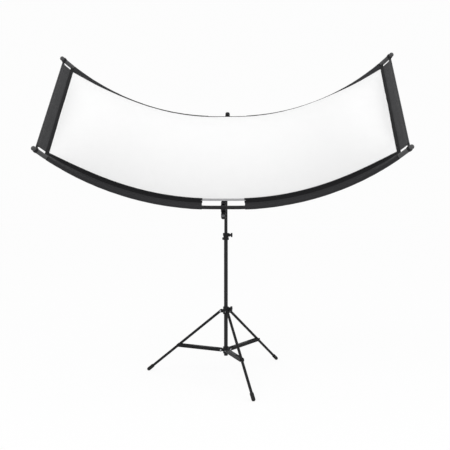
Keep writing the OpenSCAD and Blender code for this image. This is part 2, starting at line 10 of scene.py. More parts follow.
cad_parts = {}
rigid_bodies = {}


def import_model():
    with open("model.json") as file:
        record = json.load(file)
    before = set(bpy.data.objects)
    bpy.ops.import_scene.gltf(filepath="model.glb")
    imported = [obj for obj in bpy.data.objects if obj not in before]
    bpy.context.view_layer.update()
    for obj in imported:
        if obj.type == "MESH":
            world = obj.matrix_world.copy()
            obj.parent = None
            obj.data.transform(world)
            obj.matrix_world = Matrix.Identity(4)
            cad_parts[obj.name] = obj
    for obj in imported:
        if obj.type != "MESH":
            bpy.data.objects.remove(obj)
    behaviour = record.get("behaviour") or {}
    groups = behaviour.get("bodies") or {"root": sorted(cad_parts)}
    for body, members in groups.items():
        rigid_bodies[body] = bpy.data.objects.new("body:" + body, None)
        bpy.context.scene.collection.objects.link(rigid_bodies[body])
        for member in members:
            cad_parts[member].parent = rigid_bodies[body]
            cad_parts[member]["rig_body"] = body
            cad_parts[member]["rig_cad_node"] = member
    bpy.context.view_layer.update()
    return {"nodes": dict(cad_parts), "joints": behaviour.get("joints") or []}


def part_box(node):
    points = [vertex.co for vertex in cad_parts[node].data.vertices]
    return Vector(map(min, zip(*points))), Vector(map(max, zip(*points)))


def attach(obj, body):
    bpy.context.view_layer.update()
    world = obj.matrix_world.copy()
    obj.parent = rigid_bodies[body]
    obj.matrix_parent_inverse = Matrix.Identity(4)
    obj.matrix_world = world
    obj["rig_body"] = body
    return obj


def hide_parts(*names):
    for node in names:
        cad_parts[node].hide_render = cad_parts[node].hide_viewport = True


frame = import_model()

bl_info = {
    "name": "Curved light reflector",
    "version": (1, 0, 0),
    "blender": (4, 5, 0),
    "location": "View3D > Sidebar > Reflector",
    "description": "Cloth, fittings and finishes of a curved light reflector on a stand",
    "category": "Object",
}


# ---- where things are, from the frame ----


def joint(name):
    return next(j for j in frame["joints"] if j["name"] == name)


def column_axis():
    low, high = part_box("lower_tube")
    return (low + high) / 2


TILT_AT = Vector(joint("tilt_hinge")["pos_m"])
SQUARE_OUT = Vector(joint("near_clamp_knob_turn")["axis"]).normalized()
TILT = math.atan2(-SQUARE_OUT.y, SQUARE_OUT.z)
PANEL = Matrix.Translation(TILT_AT) @ Matrix.Rotation(TILT, 4, "X")


# ---- sizes and colours ----

# the sleeve's wall and slack round a tube, and its outer seam's way off the tube
SLEEVE_ROOM = 0.0011
SEAM_ROOM = 0.0016
# how far in from the outer seam a sleeve's loop closes
LOOP_CLOSE = 0.007
SLEEVE_STEPS = 150
# the hem round a stay: its wall, its slack and the way from its loop to its stitches
HEM_WALL = 0.0012
HEM_ROOM = 0.0009
HEM_STITCH = 0.006
# the folded edge at an opening
FOLD_REACH = 0.0045
FOLD_RISE = 0.0017


def length(name, description, default):
    return FloatProperty(name=name, description=description, default=default, unit="LENGTH", precision=4)


def colour(name, description, default):
    return FloatVectorProperty(
        name=name, description=description, default=default, subtype="COLOR", size=3, min=0, max=1
    )


class ReflectorSizes(bpy.types.PropertyGroup):
    """Sizes of the bowed frame and of the cloth on it."""

    frame_w: length("Frame width", "Between the two bowed tubes, centre to centre", 0.6)
    arc_len: length("Tube length", "Each bowed tube along its curve", 1.8)
    bow_radius: length("Bow radius", "Radius of the bowed stretch", 0.87)
    mid_straight: length("Straight middle", "Straight stretch at the clamps", 0.1)
    tube_d: length("Tube diameter", "Outer diameter of the bowed tubes", 0.017)
    rise: length("Rise", "Tube centres above the tilt axis, square to the panel", 0.05)
    sleeve_w: length("Sleeve width", "Sleeve cloth inside each tube", 0.019)
    window_len: length("Opening length", "Opening at the middle of each sleeve", 0.196)
    bare_len: length("Bare length", "Tube left bare at each end", 0.08)
    band_w: length("Band width", "Cloth band across each end, with its hem", 0.063)
    band_gap: length("Band gap", "Between the end of a band and the tube", 0.018)
    swell: length("Swell", "How far the middle of the cloth stands above the tubes", 0.155)
    tape_w: length("Tape width", "Binding tape along the sleeves", 0.012)
    end_tape_w: length("End tape width", "Binding tape across the ends", 0.015)
    cloth_t: length("Cloth thickness", "One layer of cloth", 0.0007)
    stay_d: length("Stay diameter", "Rod in the outer hem of each band", 0.008)


class ReflectorColours(bpy.types.PropertyGroup):
    """Colours of the cloth and of the fittings."""

    white_cloth: colour("White cloth", "Front of the reflector", (0.94, 0.94, 0.94))
    silver_cloth: colour("Silver cloth", "Back of the reflector", (0.66, 0.67, 0.69))
    sleeve: colour("Sleeve cloth", "Woven nylon of the sleeves", (0.021, 0.021, 0.023))
    band: colour("Band cloth", "Woven nylon of the end bands", (0.034, 0.034, 0.036))
    tape: colour("Binding tape", "Tape over the seams", (0.006, 0.006, 0.007))
    hem: colour("Hem", "Folded edge at the openings", (0.42, 0.42, 0.43))
    plastic: colour("Plastic", "Moulded collars, knobs and clamps", (0.008, 0.008, 0.009))
    tube: colour("Tube coat", "Satin coat of the tubes", (0.008, 0.008, 0.009))
    leg: colour("Leg coat", "Satin coat of the legs and braces", (0.012, 0.012, 0.013))
    # The tip sockets are dark plastic, lightened all over to a mid grey as a painted highlight that stands
    # in for the light on their upper side.
    socket: colour("Tip sockets", "Plastic sleeves on the tube ends", (0.065, 0.065, 0.067))
    steel: colour("Plated steel", "Pins, rivets and bolts", (0.42, 0.42, 0.44))
    nylon: colour("Nylon", "Bushes inside the stand", (0.7, 0.7, 0.67))
    rubber: colour("Rubber", "Feet", (0.016, 0.016, 0.016))


class ReflectorStudio(bpy.types.PropertyGroup):
    """The camera, the lamps and the floor."""

    camera_back: length("Camera distance", "From the column to the camera, level", 3.014)
    camera_up: length("Camera height", "Camera above the floor", 0.8824)
    camera_turn: FloatProperty(
        name="Camera turn", description="Round the column", default=math.radians(2.81), unit="ROTATION"
    )
    camera_dip: FloatProperty(
        name="Camera dip", description="Below level", default=math.radians(2.59), unit="ROTATION"
    )
    camera_aim: FloatProperty(
        name="Camera aim",
        description="To the left of the column",
        default=math.radians(0.084),
        unit="ROTATION",
    )
    lens: FloatProperty(name="Lens", description="Focal length", default=49.22, unit="CAMERA")
    key_power: FloatProperty(name="Key lamp", description="Power of the key lamp", default=20, unit="POWER")
    fill_power: FloatProperty(name="Fill lamp", description="Power of the fill", default=10, unit="POWER")
    sky: FloatProperty(name="Sky", description="Strength of the light from all round", default=0.85)
    floor_size: length("Floor", "Side of the floor", 30)
    seed: IntProperty(name="Seed", description="Start of the random creases", default=7)


def sizes():
    return bpy.context.scene.reflector_sizes


def colours():
    return bpy.context.scene.reflector_colours


# ---- the curve of the frame ----


def bow(s):
    """x, z and slope of the bowed tube's centre at the distance s along it from the middle."""
    z = sizes()
    half = z.mid_straight / 2
    turn = max(0, abs(s) - half) / z.bow_radius
    x = min(abs(s), half) + z.bow_radius * math.sin(turn)
    return math.copysign(x, s), z.bow_radius * (1 - math.cos(turn)), math.copysign(turn, s)


def on_panel(s, v, h):
    """The place at s along the bow and v across it, from near to far, and h square out of it."""
    x, up, turn = bow(s)
    return PANEL @ Vector((x - h * math.sin(turn), v, sizes().rise + up + h * math.cos(turn)))


def half_w():
    return sizes().frame_w / 2


def field_s():
    return sizes().arc_len / 2 - sizes().bare_len


def pocket_r():
    return sizes().tube_d / 2 + SLEEVE_ROOM


def seam_v():
    """How far the sleeves' outer seam is from the middle."""
    return half_w() - sizes().tube_d / 2 - SEAM_ROOM


def sleeve_v():
    return seam_v() - sizes().sleeve_w


def lift(s, v):
    """The pull along the curve lifts the cloth between the tubes, as a round arch across it."""
    ease = 3.2 / half_w()
    arch = sizes().swell * max(0, 1 - math.cosh(ease * s) / math.cosh(ease * field_s()))
    if arch < 0.00001:
        return 0
    radius = (seam_v() ** 2 + arch ** 2) / (2 * arch)
    return max(0, math.sqrt(max(0, radius ** 2 - v ** 2)) - radius + arch)


# ---- mesh helpers ----


def deselect():
    if bpy.context.object and bpy.context.object.mode != "OBJECT":
        bpy.ops.object.mode_set(mode="OBJECT")
    bpy.ops.object.select_all(action="DESELECT")


def added(name):
    """The object that the last operator added, with its place moved into its mesh."""
    piece = bpy.context.object
    piece.name = name
    piece.data.name = name
    deselect()
    piece.select_set(True)
    bpy.context.view_layer.objects.active = piece
    bpy.ops.object.transform_apply(location=True, rotation=True, scale=True)
    return piece


def apply_modifiers(piece):
    deselect()
    piece.select_set(True)
    bpy.context.view_layer.objects.active = piece
    for modifier in list(piece.modifiers):
        bpy.ops.object.modifier_apply(modifier=modifier.name)


def smooth(piece, degrees=35):
    deselect()
    piece.select_set(True)
    bpy.context.view_layer.objects.active = piece
    bpy.ops.object.shade_smooth_by_angle(angle=math.radians(degrees))


def grid(name, columns, rows, place, flat):
    """A grid with points at place(a, b), for a and b from 0 to 1, and UVs at flat(a, b), in metres."""
    deselect()
    bpy.ops.mesh.primitive_grid_add(x_subdivisions=columns, y_subdivisions=rows, size=1)
    piece = added(name)
    mesh = piece.data
    ab = [(v.co.x + 0.5, v.co.y + 0.5) for v in mesh.vertices]
    layer = mesh.uv_layers.active
    layer.name = "cloth"
    for loop in mesh.loops:
        layer.data[loop.index].uv = flat(*ab[loop.vertex_index])
    for v, (a, b) in zip(mesh.vertices, ab):
        v.co = place(a, b)
    mesh.update()
    return piece


def joined(name, parts):
    deselect()
    for part in parts:
        part.select_set(True)
    bpy.context.view_layer.objects.active = parts[0]
    bpy.ops.object.join()
    piece = bpy.context.object
    piece.name = name
    piece.data.name = name
    return piece


def thicken(piece, thickness, offset=0.0):
    solid = piece.modifiers.new("thickness", "SOLIDIFY")
    solid.thickness = thickness
    solid.offset = offset
    apply_modifiers(piece)
    smooth(piece, 50)


def dress(piece, material, body, slot, *nodes):
    piece.data.materials.clear()
    piece.data.materials.append(material)
    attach(piece, body)
    if nodes:
        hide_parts(*nodes)
    return piece


# ---- shader expressions ----


class Term:
    """A shader socket that takes part in Python arithmetic."""

    def __init__(self, finish, socket):
        self.finish = finish
        self.socket = socket

    def __add__(self, other):
        return self.finish.math("ADD", self, other)

    def __sub__(self, other):
        return self.finish.math("SUBTRACT", self, other)

    def __rsub__(self, other):
        return self.finish.math("SUBTRACT", other, self)

    def __mul__(self, other):
        return self.finish.math("MULTIPLY", self, other)

    __radd__ = __add__
    __rmul__ = __mul__

    def __truediv__(self, other):
        return self.finish.math("DIVIDE", self, other)

    def __gt__(self, other):
        return self.finish.math("GREATER_THAN", self, other)

    def __lt__(self, other):
        return self.finish.math("LESS_THAN", self, other)

    def sine(self):
        return self.finish.math("SINE", self)

    def size(self):
        return self.finish.math("ABSOLUTE", self)

    def fraction(self):
        return self.finish.math("FRACT", self)


class Finish:
    """A material or a world whose nodes are made from expressions."""

    def __init__(self, name, kind="materials"):
        self.material = getattr(bpy.data, kind).new(name)
        self.material.use_nodes = True
        self.tree = self.material.node_tree
        self.tree.nodes.clear()

    def node(self, kind, settings=None, inputs=None, output=0):
        made = self.tree.nodes.new(kind)
        for key, value in (settings or {}).items():
            setattr(made, key, value)
        for key, value in (inputs or {}).items():
            socket = made.inputs[key]
            if isinstance(value, Term):
                self.tree.links.new(value.socket, socket)
            else:
                socket.default_value = value
        return Term(self, made.outputs[output])

    def math(self, operation, *values):
        return self.node("ShaderNodeMath", {"operation": operation}, dict(enumerate(values)))

    def cloth_uv(self):
        """Metres along and across the cloth."""
        uv = self.node("ShaderNodeUVMap", {"uv_map": "cloth"})
        parts = self.tree.nodes.new("ShaderNodeSeparateXYZ")
        self.tree.links.new(uv.socket, parts.inputs[0])
        return uv, Term(self, parts.outputs[0]), Term(self, parts.outputs[1])

    def place(self):
        return self.node("ShaderNodeTexCoord", output="Object")

    def noise(self, vector, scale, detail=3.0, rough=0.5):
        inputs = {"Vector": vector, "Scale": scale, "Detail": detail, "Roughness": rough}
        return self.node("ShaderNodeTexNoise", {}, inputs)

    def stretched(self, vector, scale):
        return self.node("ShaderNodeMapping", {}, {"Vector": vector, "Scale": scale})

    def blend(self, factor, low, high):
        inputs = {"Factor": factor, 6: rgba(low), 7: rgba(high)}
        return self.node("ShaderNodeMix", {"data_type": "RGBA"}, inputs, output=2)

    def bump(self, height, strength, distance):
        inputs = {"Height": height, "Strength": strength, "Distance": distance}
        return self.node("ShaderNodeBump", {}, inputs)

    def surface(self, **inputs):
        named = {key.replace("_", " "): value for key, value in inputs.items()}
        shader = self.node("ShaderNodeBsdfPrincipled", {}, named, output="BSDF")
        out = self.tree.nodes.new("ShaderNodeOutputMaterial")
        self.tree.links.new(shader.socket, out.inputs["Surface"])
        return self.material


def rgba(value):
    return value if isinstance(value, Term) else (*tuple(value)[:3], 1.0)


def shade(value, factor):
    return tuple(min(1.0, c * factor) for c in value)


def woven(name, base, thread, roughness, sheen, crease=0.5, weave=0.35, tint=0.12):
    """Plain-woven cloth: threads over and under, soft creases and a little unevenness."""
    f = Finish(name)
    uv, along, across = f.cloth_uv()
    turns = 2 * math.pi / thread
    threads = (along * turns).sine() * (across * turns).sine()
    creases = f.noise(f.stretched(uv, (9, 26, 1)), 1.0, 4, 0.55)
    fleck = f.noise(uv, 420, 2)
    mottle = f.noise(uv, 14, 3)
    tone = f.blend(mottle * 0.6 + fleck * 0.4, shade(base, 1 - tint), shade(base, 1 + tint))
    height = threads * weave + creases * crease * 6 + fleck * 0.5
    return f.surface(
        Base_Color=tone,
        Roughness=fleck * 0.12 + (roughness - 0.06),
        Normal=f.bump(height, 0.6, 0.0006),
        Sheen_Weight=sheen,
        Sheen_Roughness=0.45,
        Specular_IOR_Level=0.2,
    )


def foil_cloth(name, base):
    """Metallised cloth: bright, finely crinkled, with a woven grain."""
    f = Finish(name)
    uv, along, across = f.cloth_uv()
    turns = 2 * math.pi / 0.0016
    threads = (along * turns).sine() * (across * turns).sine()
    crinkle = f.noise(uv, 95, 5, 0.6)
    folds = f.noise(f.stretched(uv, (6, 17, 1)), 1.0, 3)
    tone = f.blend(crinkle, shade(base, 0.86), shade(base, 1.12))
    return f.surface(
        Base_Color=tone,
        Metallic=0.85,
        Roughness=crinkle * 0.2 + 0.3,
        Normal=f.bump(crinkle * 2.4 + folds * 3 + threads * 0.15, 0.5, 0.0008),
    )


def tape(name, base):
    """Ribbed binding tape with a row of stitches near each edge."""
    f = Finish(name)
    uv, along, across = f.cloth_uv()
    ribs = (along * (2 * math.pi / 0.0011)).sine()
    step = (along / 0.0042).fraction()
    edge = (across - 0.0024).size() < 0.00045
    thread = edge * (step > 0.3)
    fleck = f.noise(uv, 600, 2)
    tone = f.blend(thread, shade(base, 0.85), shade(base, 3.4))
    tone = f.blend(fleck * 0.3, tone, shade(base, 1.9))
    return f.surface(
        Base_Color=tone,
        Roughness=fleck * 0.15 + 0.72,
        Normal=f.bump(ribs * 0.25 + thread * 1.6 + fleck * 0.3, 0.7, 0.0004),
        Sheen_Weight=0.08,
        Specular_IOR_Level=0.2,
    )


def moulded(name, base, roughness=0.5, grain=900, depth=0.5):
    """Moulded plastic or rubber with a fine grain and slightly rubbed high spots."""
    f = Finish(name)
    at = f.place()
    grainy = f.noise(at, grain, 3)
    cloud = f.noise(at, 18, 3)
    tone = f.blend(cloud, shade(base, 0.8), shade(base, 1.5))
    return f.surface(
        Base_Color=tone,
        Roughness=grainy * 0.14 + cloud * 0.1 + (roughness - 0.12),
        Normal=f.bump(grainy, depth, 0.00015),
        Specular_IOR_Level=0.2,
    )


def coated(name, base, roughness=0.32, gloss=0.22):
    """Satin coat on a drawn tube: a faint orange peel, draw lines and a few scuffs."""
    f = Finish(name)
    at = f.place()
    peel = f.noise(at, 420, 2)
    scuff = f.noise(at, 60, 6, 0.7)
    worn = (scuff > 0.7) * 0.18
    tone = f.blend(worn, shade(base, 1.0), shade(base, 2.2))
    return f.surface(
        Base_Color=tone,
        Roughness=scuff * 0.16 + (roughness - 0.08),
        Normal=f.bump(peel, 0.04, 0.0001),
        Coat_Weight=0.08,
        Coat_Roughness=0.2,
        Specular_IOR_Level=gloss,
    )


def plated(name, base):
    f = Finish(name)
    at = f.place()
    lines = f.noise(f.stretched(at, (30, 30, 900)), 1.0, 3)
    stain = f.noise(at, 70, 3)
    return f.surface(
        Base_Color=f.blend(stain, shade(base, 0.8), shade(base, 1.25)),
        Metallic=1.0,
        Roughness=lines * 0.18 + 0.24,
        Normal=f.bump(lines, 0.15, 0.0001),
    )


# ---- the cloth ----


def sheet_grid(name, s0, s1, v0, v1, columns, rows, height):
    """A sheet over part of the panel; height(s, v) is how far it stands above the tubes' plane."""

    def place(a, b):
        s, v = s0 + (s1 - s0) * a, v0 + (v1 - v0) * b
        return on_panel(s, v, height(s, v))

    def flat(a, b):
        return s0 + (s1 - s0) * a, v0 + (v1 - v0) * b

    return grid(name, columns, rows, place, flat)


def pull_creases(s, v):
    """Small pull lines where the sleeves and the end bands draw the cloth."""
    seed = bpy.context.scene.reflector_studio.seed
    edge_v = sleeve_v() - abs(v)
    edge_s = field_s() - abs(s)
    near_v = math.exp(-max(0, edge_v) / 0.05)
    near_s = math.exp(-max(0, edge_s) / 0.07)
    still = min(1, max(0, edge_v) / 0.012) * min(1, max(0, edge_s) / 0.012)
    fans = noise.noise(Vector((s * 26, v * 3 + seed, 0.3))) * near_v
    strings = noise.noise(Vector((s * 4, v * 30, seed + 4.7))) * near_s
    broad = noise.noise(Vector((s * 3.1, v * 4.3, seed + 9.1)))
    return still * (0.0016 * fans + 0.0018 * strings + 0.0012 * broad)


class REFLECTOR_OT_face_cloth(bpy.types.Operator):
    """Make the white face and the silver back of the reflector"""

    bl_idname = "reflector.face_cloth"
    bl_label = "Face cloth"

    def execute(self, context):
        z, c = sizes(), colours()
        edge = 0.004
        for name, side, material, slot, node in (
            ("face_white", 1, woven("white_face", c.white_cloth, 0.0014, 0.82, 0.08, 0.25, 0.25, 0.012),
             "white_cloth", "white_cloth"),
            ("face_silver", -1, foil_cloth("silver_back", c.silver_cloth), "silver_cloth", "silver_backing"),
        ):
            def height(s, v):
                return lift(s, v) + pull_creases(s, v) + side * z.cloth_t / 2

            reach_s, reach_v = field_s() + edge, sleeve_v() + edge
            piece = sheet_grid(name, -reach_s, reach_s, -reach_v, reach_v, 220, 76, height)
            thicken(piece, z.cloth_t * 0.9)
            dress(piece, material, "reflector", slot, node)
            2 * reach_v
            2 * reach_s
        return {"FINISHED"}


def sleeve_profile(s, steps=18):
    """The sleeve's loop round the tube at s, as (v, h) from the inner seam over the top and back."""
    r = pocket_r()
    seam = seam_v() - LOOP_CLOSE
    q = (seam, lift(s, seam))
    centre = half_w()
    away = math.atan2(-q[1], centre - q[0])
    reach = math.hypot(centre - q[0], q[1])
    spread = math.acos(min(0.999, r / reach))
    start = math.pi + away - spread
    end = -math.pi + away + spread
    ring = []
    for k in range(steps + 1):
        angle = start + (end - start) * k / steps
        ring.append((centre + r * math.cos(angle), r * math.sin(angle)))
    layer = sizes().cloth_t * 1.1
    inner = sleeve_v()
    top = [(inner + (seam - inner) * k / 5, layer) for k in range(5)]
    over = [(v, lift(s, v) + h) for v, h in top] + [(q[0], q[1] + layer)]
    under = [(q[0], q[1] - layer)] + [(v, lift(s, v) - h) for v, h in reversed(top)]
    return over + ring + under


def sleeve(name, side, hand):
    """One sleeve: side -1 is the near tube, hand -1 is the left half."""
    z = sizes()
    seed = bpy.context.scene.reflector_studio.seed + side * 3 + hand
    start, stop = z.window_len / 2, field_s()
    rings = [sleeve_profile(start + (stop - start) * i / SLEEVE_STEPS) for i in range(SLEEVE_STEPS + 1)]
    count = len(rings[0])
    run = [0]
    for p, q in zip(rings[0], rings[0][1:]):
        run.append(run[-1] + math.hypot(q[0] - p[0], q[1] - p[1]))

    def place(a, b):
        i, j = round(a * SLEEVE_STEPS), round(b * (count - 1))
        s = start + (stop - start) * a
        v, h = rings[i][j]
        slack = noise.noise(Vector((s * 34, j * 0.35, seed))) * 0.00045
        slack += noise.noise(Vector((s * 9, j * 0.2, seed + 3))) * 0.0004
        out = Vector((v - half_w(), h))
        if 5 < j < count - 6 and out.length > 0:
            v, h = v + out.normalized().x * (slack + 0.0004), h + out.normalized().y * (slack + 0.0004)
        return on_panel(hand * s, side * v, h)

    def flat(a, b):
        return start + (stop - start) * a, run[round(b * (count - 1))]

    piece = grid(name, SLEEVE_STEPS, count - 1, place, flat)
    return piece, run[-1], stop - start


class REFLECTOR_OT_sleeves(bpy.types.Operator):
    """Make the four black sleeves that hold the bowed tubes"""

    bl_idname = "reflector.sleeves"
    bl_label = "Sleeves"

    def execute(self, context):
        cloth = woven("sleeve_nylon", colours().sleeve, 0.0011, 0.62, 0.12, 0.45, 0.4, 0.18)
        for near_far, side, node in (("near", -1, "near_sleeves"), ("far", 1, "far_sleeves")):
            for left_right, hand in (("left", -1), ("right", 1)):
                piece, round_it, along = sleeve(f"sleeve_{near_far}_{left_right}", side, hand)
                face_out(piece)
                thicken(piece, 0.0005)
                dress(piece, cloth, "reflector", "black_cloth", node)
        return {"FINISHED"}


def face_out(piece):
    deselect()
    piece.select_set(True)
    bpy.context.view_layer.objects.active = piece
    bpy.ops.object.mode_set(mode="EDIT")
    bpy.ops.mesh.select_all(action="SELECT")
    bpy.ops.mesh.normals_make_consistent(inside=False)
    bpy.ops.object.mode_set(mode="OBJECT")


def tape_strip(name, s0, s1, v0, v1, columns, rows, out, along_s=True):
    """A tape on the cloth: out is its height above the cloth, and its UVs run along and across it."""
    crown = 0.0003

    def place(a, b):
        s, v = s0 + (s1 - s0) * a, v0 + (v1 - v0) * b
        t = b if along_s else a
        bulge = crown * math.sin(math.pi * t) * math.copysign(1, out)
        return on_panel(s, v, lift(s, v) + out + bulge)

    def flat(a, b):
        by_s, by_v = abs(s1 - s0) * a, abs(v1 - v0) * b
        run, width, full = (by_s, by_v, abs(v1 - v0)) if along_s else (by_v, by_s, abs(s1 - s0))
        return run, min(width, full - width)

    return grid(name, columns, rows, place, flat)


class REFLECTOR_OT_binding(bpy.types.Operator):
    """Bind the seams between the white face, the sleeves and the end bands"""

    bl_idname = "reflector.binding"
    bl_label = "Binding tapes"

    def execute(self, context):
        z = sizes()
        bound = tape("binding_tape", colours().tape)
        out = z.cloth_t * 2.6
        start, stop = z.window_len / 2 - 0.002, field_s() + 0.002
        low, high = sleeve_v() - 0.001, sleeve_v() - 0.001 + z.tape_w
        for near_far, side in (("near", -1), ("far", 1)):
            strips = []
            for hand in (-1, 1):
                for face in (1, -1):
                    strips.append(tape_strip(
                        "strip", hand * start, hand * stop, side * low, side * high, 130, 4, face * out))
            piece = joined(f"binding_{near_far}", strips)
            thicken(piece, 0.0006)
            dress(piece, bound, "reflector", "black_cloth")
        for left_right, hand in (("left", -1), ("right", 1)):
            reach = seam_v() - 0.001
            strips = [
                tape_strip("strip", hand * (field_s() - 0.001), hand * (field_s() - 0.001 + z.end_tape_w),
                           -reach, reach, 5, 110, face * out * 1.25, along_s=False)
                for face in (1, -1)
            ]
            piece = joined(f"binding_{left_right}", strips)
            thicken(piece, 0.0006)
            dress(piece, bound, "reflector", "black_cloth")
        return {"FINISHED"}


class REFLECTOR_OT_opening_hems(bpy.types.Operator):
    """Fold and stitch the edge of the white face across each opening"""

    bl_idname = "reflector.opening_hems"
    bl_label = "Opening hems"

    def execute(self, context):
        z = sizes()
        hem = woven("hem_fold", colours().hem, 0.0012, 0.75, 0.15, 0.3, 0.4, 0.1)
        reach = z.window_len / 2 + 0.004
        strips = []
        for side in (-1, 1):
            edge = sleeve_v() + FOLD_REACH

            def place(a, b, side=side, edge=edge):
                s = -reach + 2 * reach * a
                if b < 0.3:
                    v, h = edge - FOLD_REACH * (1 - b / 0.3), FOLD_RISE
                elif b > 0.7:
                    v, h = edge - FOLD_REACH * (b - 0.7) / 0.3, -FOLD_RISE
                else:
                    turn = math.pi * (b - 0.3) / 0.4
                    v, h = edge + FOLD_RISE * math.sin(turn), FOLD_RISE * math.cos(turn)
                return on_panel(s, side * v, lift(s, min(v, edge)) + h)

            def flat(a, b):
                return 2 * reach * a, 0.02 * b

            strips.append(grid("strip", 50, 20, place, flat))
        piece = joined("opening_hems", strips)
        thicken(piece, 0.0006)
        dress(piece, hem, "reflector", "hem_cloth", "window_hems")
        return {"FINISHED"}


class REFLECTOR_OT_end_bands(bpy.types.Operator):
    """Make the cloth band across each end, with its hem round the stay"""

    bl_idname = "reflector.end_bands"
    bl_label = "End bands"

    def execute(self, context):
        z = sizes()
        cloth = woven("band_nylon", colours().band, 0.0011, 0.66, 0.15, 0.5, 0.4, 0.18)
        stay_s = z.arc_len / 2 - z.bare_len + z.band_w - z.stay_d / 2 - HEM_WALL
        hem_r = z.stay_d / 2 + HEM_ROOM
        reach_v = half_w() - z.tube_d / 2 - z.band_gap
        seed = context.scene.reflector_studio.seed
        for name, hand in (("band_left", -1), ("band_right", 1)):
            profile = []
            start = field_s() - 0.003
            layer = z.cloth_t
            seam = stay_s - hem_r - HEM_STITCH
            for k in range(9):
                profile.append((start + (seam - start) * k / 8, layer))
            tangent = math.acos(hem_r / (hem_r + HEM_STITCH))
            for k in range(17):
                angle = math.pi - tangent - (2 * math.pi - 2 * tangent) * k / 16
                profile.append((stay_s + hem_r * math.cos(angle), hem_r * math.sin(angle)))
            for k in range(9):
                profile.append((seam - (seam - start) * k / 8, -layer))
            count = len(profile)
            run = [0]
            for p, q in zip(profile, profile[1:]):
                run.append(run[-1] + math.hypot(q[0] - p[0], q[1] - p[1]))

            def place(a, b, hand=hand, profile=profile, count=count):
                j = round(b * (count - 1))
                s, h = profile[j]
                v = -reach_v + 2 * reach_v * a
                centre = 1 - abs(2 * a - 1)
                wave = noise.noise(Vector((s * 18, v * 7, seed + hand))) * 0.0012 * min(1, centre * 6)
                wave += noise.noise(Vector((s * 50, v * 22, seed + hand + 5))) * 0.0005
                flat_part = 1 if abs(h) <= layer * 1.01 else 0.25
                return on_panel(hand * s, v, h + wave * flat_part)

            def flat(a, b, run=run, count=count):
                return 2 * reach_v * a, run[round(b * (count - 1))]

            piece = grid(name, 120, count - 1, place, flat)
            face_out(piece)
            thicken(piece, 0.0005)
            dress(piece, cloth, "reflector", "band_cloth", "end_bands")
        return {"FINISHED"}


# ---- the hard pieces ----

PLASTIC_NODES = {
    "base_collar": ("stand_base", 0.0008),
    "base_plug": ("stand_base", 0.0008),
    "lower_section_collar": ("stand_base", 0.001),
    "lower_section_knob": ("lower_section_knob", 0.0007),
    "leg_collar": ("leg_collar", 0.0008),
    "leg_collar_knob": ("leg_collar_knob", 0.0007),
    "upper_section_collar": ("middle_section", 0.001),
    "upper_section_knob": ("upper_section_knob", 0.0007),
    "bracket_socket": ("bracket", 0.001),
    "spigot_lock_knob": ("spigot_lock_knob", 0.0007),
    "tilt_yoke": ("reflector", 0.0007),
    "tilt_knob": ("tilt_knob", 0.0008),
    "clamp_saddles": ("reflector", 0.0007),
    "near_clamp_jaw": ("reflector", 0.0006),
    "far_clamp_jaw": ("reflector", 0.0006),
    "near_clamp_knob": ("near_clamp_knob", 0.0007),
    "far_clamp_knob": ("far_clamp_knob", 0.0007),
    "crossbar_caps": ("reflector", 0.0008),
    "stay_clips": ("reflector", 0.0007),
}


def eased(node, width):
    """A copy of a CAD node with its sharp edges rounded over."""
    deselect()
    source = frame["nodes"][node]
    source.select_set(True)
    bpy.context.view_layer.objects.active = source
    bpy.ops.object.duplicate()
    piece = bpy.context.object
    piece.parent = None
    piece.matrix_world = Matrix.Identity(4)
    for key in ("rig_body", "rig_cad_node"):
        if key in piece:
            del piece[key]
    piece.name = f"{node}_moulded"
    piece.data.name = piece.name
    deselect()
    piece.select_set(True)
    bpy.context.view_layer.objects.active = piece
    bpy.ops.object.mode_set(mode="EDIT")
    bpy.ops.mesh.select_all(action="SELECT")
    bpy.ops.mesh.remove_doubles(threshold=0.00001)
    bpy.ops.mesh.dissolve_limited(angle_limit=math.radians(1.0))
    bpy.ops.object.mode_set(mode="OBJECT")
    round_over = piece.modifiers.new("round_over", "BEVEL")
    round_over.width = width
    round_over.segments = 2
    round_over.limit_method = "ANGLE"
    round_over.angle_limit = math.radians(40)
    round_over.use_clamp_overlap = True
    round_over.harden_normals = False
    apply_modifiers(piece)
    smooth(piece, 40)
    return piece


class REFLECTOR_OT_moulded_parts(bpy.types.Operator):
    """Round over the edges of the moulded collars, knobs, clamps and clips"""

    bl_idname = "reflector.moulded_parts"
    bl_label = "Moulded parts"

    def execute(self, context):
        plastic = moulded("black_plastic", colours().plastic)
        for node, (body, width) in PLASTIC_NODES.items():
            dress(eased(node, width), plastic, body, "black_plastic", node)
        return {"FINISHED"}


